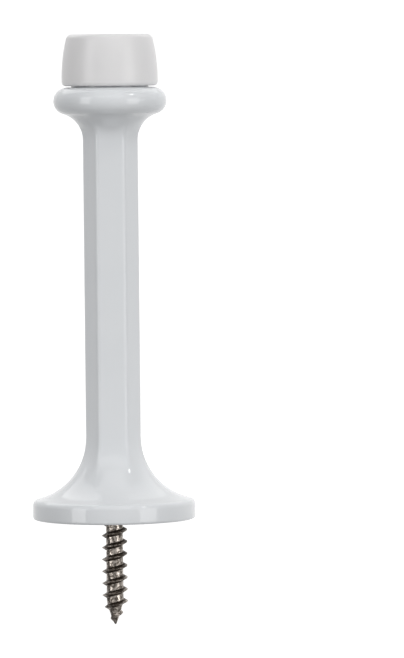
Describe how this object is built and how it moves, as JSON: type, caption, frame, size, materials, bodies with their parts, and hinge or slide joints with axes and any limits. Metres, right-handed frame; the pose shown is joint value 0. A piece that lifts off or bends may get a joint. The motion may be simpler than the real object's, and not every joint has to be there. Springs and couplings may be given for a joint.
{
  "type": "rigid door stop",
  "caption": "Rigid door stop: a round-footed white post with a hexagonal shaft and a beaded collar, a push-on rubber bumper, and a wood screw that fixes it to a skirting board or wall.",
  "frame": {"origin": "centre of the face of the foot that meets the wall", "axes": "+Z along the post, from the wall towards the door; -Y out of one flat of the hexagonal shaft"},
  "size_m": [0.0256, 0.0256, 0.0929],
  "materials": {
    "enamel": "gloss white enamel on a zinc casting",
    "rubber": "satin white moulded rubber",
    "plated_steel": "bright nickel plate over a rolled thread"
  },
  "bodies": {
    "stop": {"post": "enamel", "hanger_screw": "plated_steel"},
    "bumper": {"rubber_bumper": "rubber"}
  },
  "joints": [
    {"name": "bumper_pull", "type": "slide", "parent": "stop", "child": "bumper", "axis": [0, 0, 1], "range_m": [0, 0.009]}
  ]
}
